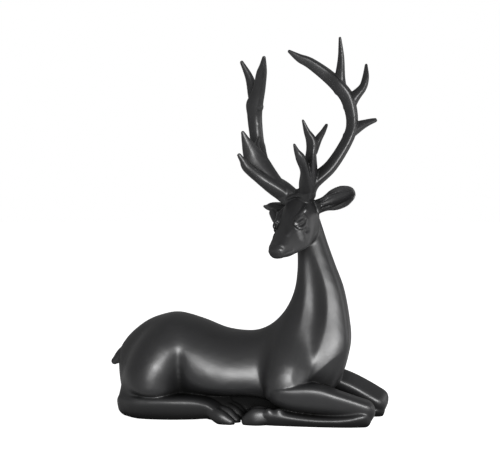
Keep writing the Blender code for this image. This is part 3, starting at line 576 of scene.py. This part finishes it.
def add_skull(bm, place):
    """Cranium, cheeks and muzzle in one run of sections, with a rounded nose."""
    rings = []
    rows = list(spline(SKULL))
    last = rows[-1]
    for out, keep in NOSE_CAP:
        cap = last.copy()
        middle_x, middle_z = (last[0] + last[2]) / 2.0, (last[1] + last[3]) / 2.0
        cap[0] = middle_x + (last[0] - middle_x) * keep + out
        cap[1] = middle_z + (last[1] - middle_z) * keep - out * NOSE_DROOP
        cap[2] = middle_x + (last[2] - middle_x) * keep + out
        cap[3] = middle_z + (last[3] - middle_z) * keep - out * NOSE_DROOP
        cap[4] = last[4] * keep
        rows.append(cap)
    turn = place.to_3x3()
    skull = bmesh.new()
    for row in rows:
        top = Vector((row[0], 0.0, row[1])) * MM
        bottom = Vector((row[2], 0.0, row[3])) * MM
        centre = place @ ((top + bottom) / 2.0)
        across = turn @ Vector((0.0, row[4] * MM, 0.0))
        rings.append(add_ring(skull, centre, across, turn @ ((top - bottom) / 2.0),
                              narrowed(section(row[5]), row[6])))
    skin(skull, rings)
    join(bm, skull)
    for limb in (CROWN, CROWN_RIM, RIGHT_EAR_BASE):
        add_limb(bm, limb, place=place)
    for side in (-1.0, 1.0):
        add_limb(bm, sided(BROWS, side), place=place)


def add_eye(bm, place, side):
    """An eyeball between its two lids."""
    eye = Vector((EYE_PLACE[0], EYE_PLACE[1] * side, EYE_PLACE[2])) * MM
    slope = Euler((0.0, math.radians(EYE_SLOPE_DEG), 0.0)).to_matrix().to_4x4()
    size = Matrix.Diagonal(Vector(EYE_SIZE) * MM).to_4x4()
    ball = bmesh.new()
    bmesh.ops.create_uvsphere(ball, u_segments=EYE_SEGMENTS, v_segments=EYE_RINGS, radius=1.0,
                              matrix=place @ Matrix.Translation(eye) @ slope @ size)
    join(bm, ball)
    for lid in (UPPER_LID, LOWER_LID):
        add_limb(bm, sided(lid, side), shape=section(sides=LID_SIDES), place=place)


def add_antler(bm, place, side):
    """One antler: a keeled beam, brow tine, forked trez tine and three upper tines."""
    keeled = section(2.0, KEEL, KEEL_LEAN * side)
    keel_side = (KEEL_SIDE[0], KEEL_SIDE[1] * side, KEEL_SIDE[2])
    for branch in (BEAM, BROW_TINE, TREZ_STEM, TREZ_SPUR) + UPPER_TINES:
        add_limb(bm, sided(branch, side), up=keel_side, shape=keeled, place=place)


def ear_frame(side, twist_deg):
    """Root, tip, and the directions across and out of the hollow of one ear, in the head's frame."""
    root = Vector((EAR_ROOT[0], EAR_ROOT[1] * side, EAR_ROOT[2]))
    tip = Vector((EAR_TIP[0], EAR_TIP[1] * side, EAR_TIP[2]))
    if side < 0.0:
        tip = root + (tip - root) * RIGHT_EAR_LENGTH
        root.z -= RIGHT_EAR_DROP[0]
        tip.z -= RIGHT_EAR_DROP[1]
    axis = (tip - root).normalized()
    front = Vector((1.0, 0.0, 0.0))
    front = (front - axis * front.dot(axis)).normalized()
    front = Matrix.Rotation(math.radians(twist_deg), 3, axis) @ front
    return root, tip, axis.cross(front), front


def add_ear(bm, place, side, twist_deg):
    """A leaf-shaped ear, hollowed towards the front."""
    root, tip, blade, front = ear_frame(side, twist_deg)
    ear = bmesh.new()
    rings = []
    for share, width, thick in spline(EAR_BLADE):
        centre = root + (tip - root) * share
        cup = EAR_CUP * width / EAR_CUP_WIDTH
        edges = add_ring(ear, Vector(), Vector((1.0, 0.0, 0.0)), Vector((0.0, 1.0, 0.0)), section())
        for vert in {vert for edge in edges for vert in edge.verts}:
            s, t = vert.co.x, vert.co.y
            local = centre + blade * (s * width) + front * (t * thick + cup * (s * s - 0.5))
            vert.co = place @ (local * MM)
        rings.append(edges)
    skin(ear, rings)
    join(bm, ear)


def ear_strokes(strokes, side, twist_deg):
    """Places strokes given along and across an ear on the surface of its hollow."""
    root, tip, blade, front = ear_frame(side, twist_deg)
    shares, widths, thicks = np.array(EAR_BLADE).T
    placed = []
    for stroke in strokes:
        rows = []
        for share, across, radius, depth in stroke:
            width = np.interp(share, shares, widths)
            rise = np.interp(share, shares, thicks) * math.sqrt(1.0 - across * across)
            cup = EAR_CUP * width / EAR_CUP_WIDTH * (across * across - 0.5)
            place = root + (tip - root) * share + blade * (across * width) + front * (rise + cup)
            rows.append((*place, radius, depth))
        placed.append(tuple(rows))
    return placed


def add_body_mass(bm):
    """Barrel, neck, haunches and shoulders, which run into each other."""
    add_trunk(bm)
    for limb in (mirrored(HAUNCH), FAR_HAUNCH, mirrored(UPPER_ARM), FAR_UPPER_ARM):
        add_limb(bm, limb, up=(0.0, 1.0, 0.0), dome=BODY_LIMB_DOME)
    add_limb(bm, NEAR_HOCK, up=(0.0, 1.0, 0.0))


def add_legs(bm):
    """The folded legs with their cloven feet, the tail, and the rest under the barrel."""
    shape = narrowed(section(LEG_SQUARENESS), -LEG_LEAN)
    for limb in (NEAR_FOREARM, NEAR_CANNON, NEAR_HIND_CANNON):
        add_limb(bm, limb, shape=shape)
    for limb in (FAR_FOREARM, FAR_CANNON, FAR_HIND_CANNON):
        add_limb(bm, limb, up=FAR_LEG_UP, shape=shape)
    for foot in (NEAR_HIND_TOES, FAR_HIND_TOES, NEAR_FORE_TOES, FAR_FORE_TOES):
        for toe in foot:
            add_limb(bm, toe, shape=section(TOE_SQUARENESS))
    add_limb(bm, TAIL)
    add_limb(bm, BELLY_REST)


def bake(obj):
    """Puts an object's modifiers into its own mesh."""
    graph = bpy.context.evaluated_depsgraph_get()
    mesh = bpy.data.meshes.new_from_object(obj.evaluated_get(graph))
    old = obj.data
    obj.modifiers.clear()
    obj.data = mesh
    bpy.data.meshes.remove(old)


def one_skin(obj, voxel):
    """Fuses every shell of an object into one closed skin."""
    remesh = obj.modifiers.new("one skin", "REMESH")
    remesh.mode = "VOXEL"
    remesh.voxel_size = voxel
    bake(obj)


def finer(obj, levels):
    """Rounds an object's faces off into finer ones."""
    subdivide = obj.modifiers.new("finer", "SUBSURF")
    subdivide.levels = levels
    subdivide.render_levels = levels
    bake(obj)


def coordinates(mesh):
    """Vertex places as an array, one row each, in millimetres."""
    flat = np.empty(len(mesh.vertices) * 3, dtype=np.float32)
    mesh.vertices.foreach_get("co", flat)
    return flat.reshape(-1, 3).astype(float) / MM


def soften(obj, zones, passes, everywhere=0.0):
    """Smooths an object inside round zones of (x, y, z, radius), most at their middles."""
    places = coordinates(obj.data)
    weight = np.full(len(places), everywhere)
    for x, y, z, radius in zones:
        gap = np.linalg.norm(places - (x, y, z), axis=1) / radius
        weight = np.maximum(weight, np.clip(ZONE_EDGE * (1.0 - gap), 0.0, 1.0))
    group = obj.vertex_groups.new(name="soft")
    levels = np.round(weight * SOFT_LEVELS).astype(int)
    for level in range(1, SOFT_LEVELS + 1):
        group.add(np.flatnonzero(levels == level).tolist(), level / SOFT_LEVELS, "REPLACE")
    smooth = obj.modifiers.new("soften", "SMOOTH")
    smooth.factor = SMOOTH_FACTOR
    smooth.iterations = passes
    smooth.vertex_group = group.name
    bake(obj)
    obj.vertex_groups.clear()


def soft_edge(gap):
    """A dent that fades out round its rim."""
    return np.clip(1.0 - gap * gap, 0.0, 1.0) ** 2


def valley(gap):
    """A rounded middle line, with sides that flatten out."""
    return np.clip(1.0 - np.sqrt(gap * gap + VALLEY_ROUNDING ** 2), 0.0, 1.0) ** 2


def lobe(gap):
    """A full round form that ends in a crease."""
    return np.clip(1.0 - gap * gap, 0.0, 1.0)


def press(obj, strokes, side=0.0, place=None, profile=soft_edge):
    """Carves strokes of (x, y, z, radius, depth), or of (x, z, radius, depth) seen from one side."""
    mesh = obj.data
    places = coordinates(mesh)
    normals = np.empty(len(places) * 3, dtype=np.float32)
    mesh.vertex_normals.foreach_get("vector", normals)
    normals = normals.reshape(-1, 3).astype(float)
    move = np.zeros(len(places))
    facing = np.ones(len(places))
    if side:
        facing = np.clip(2.0 * normals[:, 1] * side, 0.0, 1.0)
    for stroke in strokes:
        rows = spline(stroke, STROKE_STEPS)
        if place is not None:
            world = [place @ (Vector(row[:3]) * MM) / MM for row in rows]
            rows = np.hstack([np.array(world), rows[:, 3:]])
        axes = (0, 2) if side else (0, 1, 2)
        seen = places[:, axes]
        reach = rows[:, -2].max()
        low = rows[:, :len(axes)].min(axis=0) - reach
        high = rows[:, :len(axes)].max(axis=0) + reach
        near = np.flatnonzero(np.all((seen > low) & (seen < high), axis=1) & (facing > 0.0))
        best = np.zeros(len(near))
        for row in rows:
            gap = np.linalg.norm(seen[near] - row[:len(axes)], axis=1) / row[-2]
            depth = row[-1] * profile(gap)
            best = np.where(np.abs(depth) > np.abs(best), depth, best)
        move[near] += best * facing[near]
    if side:
        places[:, 1] -= side * move
    else:
        places -= normals * move[:, None]
    mesh.vertices.foreach_set("co", (places * MM).astype(np.float32).ravel())
    mesh.update()


def both_sides(zones):
    """Zones and their mirror images."""
    return tuple(zones) + tuple((x, -y, z, radius) for x, y, z, radius in zones)


def new_object(name, bm):
    """An object from a finished bmesh."""
    mesh = bpy.data.meshes.new(name)
    bm.to_mesh(mesh)
    bm.free()
    obj = bpy.data.objects.new(name, mesh)
    bpy.context.scene.collection.objects.link(obj)
    return obj


def thin_out(obj, faces):
    """Collapses edges where the surface is flattest, down to a number of triangles."""
    triangles = sum(len(face.vertices) - 2 for face in obj.data.polygons)
    decimate = obj.modifiers.new("thin out", "DECIMATE")
    decimate.ratio = faces / triangles
    bake(obj)


def flatten_underside(obj):
    """Cuts the casting off flat at the ground."""
    bm = bmesh.new()
    bm.from_mesh(obj.data)
    cut = bmesh.ops.bisect_plane(bm, geom=bm.verts[:] + bm.edges[:] + bm.faces[:], plane_co=(0.0, 0.0, 0.0),
                                 plane_no=(0.0, 0.0, -1.0), clear_outer=True)
    rim = [item for item in cut["geom_cut"] if isinstance(item, bmesh.types.BMEdge)]
    bmesh.ops.triangle_fill(bm, edges=rim, use_beauty=True)
    bmesh.ops.recalc_face_normals(bm, faces=bm.faces)
    bm.to_mesh(obj.data)
    bm.free()


def centre_on_origin(obj):
    """Moves the casting so that the middle of its box is over the origin."""
    places = coordinates(obj.data) * MM
    middle = (places.min(axis=0) + places.max(axis=0)) / 2.0
    obj.data.transform(Matrix.Translation((-middle[0], -middle[1], 0.0)))


def add_noise(tree, place, scale, detail):
    """A noise on the object's own coordinates."""
    noise = tree.nodes.new("ShaderNodeTexNoise")
    noise.inputs["Scale"].default_value = scale
    noise.inputs["Detail"].default_value = detail
    tree.links.new(place.outputs["Object"], noise.inputs["Vector"])
    return noise


def add_bump(tree, noise, height):
    """Relief as high as a noise says."""
    bump = tree.nodes.new("ShaderNodeBump")
    bump.inputs["Strength"].default_value = 1.0
    bump.inputs["Distance"].default_value = height
    tree.links.new(noise.outputs["Fac"], bump.inputs["Height"])
    return bump


def satin_iron(name, finish):
    """Cast iron under satin black: a soft sheen, painted shade that darkens the colour and the reflection in
    recesses, the grain of the sand mould and a slight waviness."""
    material = bpy.data.materials.new(name)
    material.use_nodes = True
    tree = material.node_tree
    shader = tree.nodes["Principled BSDF"]
    shader.inputs["Metallic"].default_value = finish.metallic

    # Painted shade: an occlusion mask darkens the colour and weakens the reflection in recesses, where shade
    # falls
    recesses = tree.nodes.new("ShaderNodeAmbientOcclusion")
    recesses.samples = PAINTED_SHADE_SAMPLES
    recesses.inputs["Distance"].default_value = PAINTED_SHADE_REACH
    shade_mask = tree.nodes.new("ShaderNodeMapRange")
    shade_mask.inputs["From Min"].default_value = PAINTED_SHADE_OPENNESS[0]
    shade_mask.inputs["From Max"].default_value = PAINTED_SHADE_OPENNESS[1]
    tree.links.new(recesses.outputs["AO"], shade_mask.inputs["Value"])
    sheen = tree.nodes.new("ShaderNodeMath")
    sheen.operation = "MULTIPLY"
    sheen.inputs[1].default_value = finish.sheen
    tree.links.new(shade_mask.outputs["Result"], sheen.inputs[0])
    tree.links.new(sheen.outputs["Value"], shader.inputs["Specular IOR Level"])
    # The colour is drawn towards the dark painted shade colour in recesses
    shaded_colour = tree.nodes.new("ShaderNodeMix")
    shaded_colour.data_type = "RGBA"
    shaded_colour.inputs[MIX_FROM].default_value = (*PAINTED_SHADE_COLOUR, 1.0)
    shaded_colour.inputs[MIX_TO].default_value = (*finish.colour, 1.0)
    tree.links.new(shade_mask.outputs["Result"], shaded_colour.inputs[MIX_SHARE])
    tree.links.new(shaded_colour.outputs[MIX_RESULT], shader.inputs["Base Color"])

    place = tree.nodes.new("ShaderNodeTexCoord")
    blotches = add_noise(tree, place, *BLOTCHES)
    gloss = tree.nodes.new("ShaderNodeMapRange")
    gloss.inputs["From Min"].default_value = BLOTCH_RANGE[0]
    gloss.inputs["From Max"].default_value = BLOTCH_RANGE[1]
    gloss.inputs["To Min"].default_value = finish.roughness - ROUGHNESS_SPREAD
    gloss.inputs["To Max"].default_value = finish.roughness + ROUGHNESS_SPREAD
    tree.links.new(blotches.outputs["Fac"], gloss.inputs["Value"])
    tree.links.new(gloss.outputs["Result"], shader.inputs["Roughness"])

    grain = add_noise(tree, place, *GRAIN)
    waves = add_noise(tree, place, *WAVES)
    waviness = add_bump(tree, waves, finish.waviness)
    bump = add_bump(tree, grain, finish.grain)
    tree.links.new(waviness.outputs["Normal"], bump.inputs["Normal"])
    tree.links.new(bump.outputs["Normal"], shader.inputs["Normal"])
    return material


def pale_surface(name, colour, glow, bounce):
    """The plain matt stage, which the camera sees as white."""
    material = bpy.data.materials.new(name)
    material.use_nodes = True
    shader = material.node_tree.nodes["Principled BSDF"]
    shader.inputs["Base Color"].default_value = (colour, colour, colour, 1.0)
    shader.inputs["Roughness"].default_value = 1.0
    shader.inputs["Specular IOR Level"].default_value = 0.0
    shader.inputs["Emission Color"].default_value = (1.0, 1.0, 1.0, 1.0)
    seen = material.node_tree.nodes.new("ShaderNodeLightPath")
    strength = material.node_tree.nodes.new("ShaderNodeMapRange")
    strength.inputs["To Min"].default_value = bounce
    strength.inputs["To Max"].default_value = glow
    material.node_tree.links.new(seen.outputs["Is Camera Ray"], strength.inputs["Value"])
    material.node_tree.links.new(strength.outputs["Result"], shader.inputs["Emission Strength"])
    return material


def add_light(name, place, target, width, height, power):
    """A soft box that faces a point."""
    lamp = bpy.data.lights.new(name, "AREA")
    lamp.shape = "RECTANGLE"
    lamp.size = width
    lamp.size_y = height
    lamp.energy = power
    obj = bpy.data.objects.new(name, lamp)
    obj.location = place
    obj.rotation_euler = (Vector(target) - Vector(place)).to_track_quat("-Z", "Y").to_euler()
    bpy.context.scene.collection.objects.link(obj)


def towards(turn_deg, lift_deg):
    """Unit vector out from the stag at an angle round it and above the ground; 0 is its right flank."""
    turn, lift = math.radians(turn_deg), math.radians(lift_deg)
    return Vector((math.sin(turn) * math.cos(lift), -math.cos(turn) * math.cos(lift), math.sin(lift)))


class StagCarving(bpy.types.PropertyGroup):
    voxel: FloatProperty(name="Carving step", description="Finest step of the carved surface",
                         default=0.0007, min=0.0004, precision=4, unit="LENGTH")
    triangles: IntProperty(name="Triangles", description="Triangles kept in the finished casting",
                           default=190000, min=20000, max=199000)


class StagFinish(bpy.types.PropertyGroup):
    colour: FloatVectorProperty(name="Colour", description="Satin black of the iron", subtype="COLOR",
                                default=(0.009, 0.009, 0.0095), min=0.0, max=1.0)
    roughness: FloatProperty(name="Roughness", description="How far the satin sheen spreads", default=0.42,
                             min=0.0, max=1.0)
    metallic: FloatProperty(name="Metallic", description="How much bare metal shows in the sheen",
                            default=0.0, min=0.0, max=1.0)
    sheen: FloatProperty(name="Sheen", description="Strength of the reflection", default=0.5, min=0.0,
                         max=1.0)
    grain: FloatProperty(name="Grain", description="Height of the sand mould's grain", default=0.00004,
                         min=0.0, precision=5, unit="LENGTH")
    waviness: FloatProperty(name="Waviness", description="Height of the casting's slow waves", default=0.0002,
                            min=0.0, precision=5, unit="LENGTH")


class StagStage(bpy.types.PropertyGroup):
    turn: FloatProperty(name="View turn", description="Degrees the camera stands round the stag",
                        default=8.0)
    lift: FloatProperty(name="View lift", description="Degrees the camera stands above level", default=2.0)
    distance: FloatProperty(name="View distance", description="From the camera to the middle of the stag",
                            default=1.18, min=0.5, unit="LENGTH")
    lens: FloatProperty(name="Lens", description="Focal length in millimetres", default=85.0, min=20.0)
    key: FloatProperty(name="Key light", description="Power of the large soft box in front", default=30.0,
                       min=0.0, unit="POWER")
    glow: FloatProperty(name="Glow", description="Brightness of the white sweep", default=0.95, min=0.0)
    bounce: FloatProperty(name="Bounce", description="Light the sweep throws up at the stag", default=0.08,
                          min=0.0)
    surroundings: FloatProperty(name="Surroundings", description="Brightness of the room", default=0.3,
                                min=0.0)


class STAG_OT_casting(bpy.types.Operator):
    """Carve the whole stag as one casting and finish it in satin black"""
    bl_idname = "stag.casting"
    bl_label = "Cast the stag"

    def execute(self, context):
        carving = context.scene.stag_carving
        bm = bmesh.new()
        add_body_mass(bm)
        mass = new_object("body mass", bm)
        one_skin(mass, BODY_VOXEL)
        soften(mass, both_sides(BODY_BLENDS), BODY_PASSES, everywhere=BODY_EVENNESS)
        finer(mass, BODY_LEVELS)
        for side in (-1.0, 1.0):
            press(mass, NECK_GROOVES, side=side, profile=soft_edge)
            press(mass, FLANK_GROOVES, side=side, profile=valley)
            press(mass, FLANK_FOLDS, side=side, profile=lobe)

        place = head_matrix()
        bm = bmesh.new()
        bm.from_mesh(mass.data)
        bpy.data.objects.remove(mass, do_unlink=True)
        add_legs(bm)
        add_skull(bm, place)
        add_ear(bm, place, 1.0, LEFT_EAR_TWIST_DEG)
        add_ear(bm, place, -1.0, RIGHT_EAR_TWIST_DEG)
        for side in (-1.0, 1.0):
            add_eye(bm, place, side)
            add_antler(bm, place, side)
        casting = new_object("stag_casting", bm)
        one_skin(casting, carving.voxel)
        creases = [tuple(row) for crease in CREASES for row in spline(crease)]
        soften(casting, (), SKIN_PASSES, everywhere=SKIN_EVENNESS)
        soften(casting, list(JOINT_BLENDS) + creases, JOINT_PASSES)
        for side in (-1.0, 1.0):
            strokes = HEAD_STROKES + EYE_STROKES if side > 0.0 else HEAD_STROKES
            press(casting, [sided(stroke, side) for stroke in strokes], place=place)
            twist = LEFT_EAR_TWIST_DEG if side > 0.0 else RIGHT_EAR_TWIST_DEG
            for strokes in (EAR_HOLLOW, EAR_LOCKS):
                press(casting, ear_strokes(strokes, side, twist), place=place)
        thin_out(casting, carving.triangles)
        flatten_underside(casting)
        centre_on_origin(casting)
        casting.data.materials.clear()
        casting.data.materials.append(satin_iron("satin black iron", context.scene.stag_finish))
        casting.data.shade_smooth()
        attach(casting, "root")
        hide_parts(NODE_NAME)
        return {"FINISHED"}


class STAG_OT_stage(bpy.types.Operator):
    """Lay the white sweep, hang the soft boxes and set the camera"""
    bl_idname = "stag.stage"
    bl_label = "Set the stage"

    def execute(self, context):
        stage = context.scene.stag_stage
        bm = bmesh.new()
        bmesh.ops.create_circle(bm, cap_ends=True, segments=FLOOR_SIDES, radius=FLOOR_RADIUS)
        floor = new_object("floor", bm)
        floor.data.materials.append(pale_surface("matt white", FLOOR_COLOUR, stage.glow, stage.bounce))

        out = towards(stage.turn, stage.lift)
        target = Vector(VIEW_TARGET) * MM
        camera = bpy.data.cameras.new("camera")
        camera.lens = stage.lens
        camera.clip_end = CAMERA_REACH
        eye = bpy.data.objects.new("camera", camera)
        eye.location = target + out * stage.distance
        eye.rotation_euler = (-out).to_track_quat("-Z", "Y").to_euler()
        context.scene.collection.objects.link(eye)
        context.scene.camera = eye

        for name, turn, lift, distance, width, height, share in SOFT_BOXES:
            add_light(name, target + towards(turn, lift) * distance, target, width, height, stage.key * share)
        world = bpy.data.worlds.new("room")
        world.use_nodes = True
        tree = world.node_tree
        room = tree.nodes["Background"]
        room.inputs["Color"].default_value = (1.0, 1.0, 1.0, 1.0)
        room.inputs["Strength"].default_value = stage.surroundings
        backdrop = tree.nodes.new("ShaderNodeBackground")
        backdrop.inputs["Color"].default_value = (1.0, 1.0, 1.0, 1.0)
        seen = tree.nodes.new("ShaderNodeLightPath")
        either = tree.nodes.new("ShaderNodeMixShader")
        tree.links.new(seen.outputs["Is Camera Ray"], either.inputs["Fac"])
        tree.links.new(room.outputs["Background"], either.inputs[1])
        tree.links.new(backdrop.outputs["Background"], either.inputs[2])
        tree.links.new(either.outputs["Shader"], tree.nodes["World Output"].inputs["Surface"])
        context.scene.world = world
        context.scene.view_settings.view_transform = "Standard"
        return {"FINISHED"}


class STAG_PT_panel(bpy.types.Panel):
    """The stag's casting, finish and stage"""
    bl_idname = "STAG_PT_panel"
    bl_label = "Cast iron stag"
    bl_space_type = "VIEW_3D"
    bl_region_type = "UI"
    bl_category = "Stag"

    def draw(self, context):
        for group, operator in ((context.scene.stag_carving, None),
                                (context.scene.stag_finish, STAG_OT_casting),
                                (context.scene.stag_stage, STAG_OT_stage)):
            box = self.layout.box()
            for name in group.__annotations__:
                box.prop(group, name)
            if operator is not None:
                box.operator(operator.bl_idname)


CLASSES = (StagCarving, StagFinish, StagStage, STAG_OT_casting, STAG_OT_stage, STAG_PT_panel)


def register():
    for cls in CLASSES:
        bpy.utils.register_class(cls)
    bpy.types.Scene.stag_carving = PointerProperty(type=StagCarving)
    bpy.types.Scene.stag_finish = PointerProperty(type=StagFinish)
    bpy.types.Scene.stag_stage = PointerProperty(type=StagStage)


def unregister():
    del bpy.types.Scene.stag_stage
    del bpy.types.Scene.stag_finish
    del bpy.types.Scene.stag_carving
    for cls in reversed(CLASSES):
        bpy.utils.unregister_class(cls)


def main():
    """Makes every piece in order."""
    register()
    bpy.ops.stag.stage()
    bpy.ops.stag.casting()


if __name__ == "__main__":
    main()
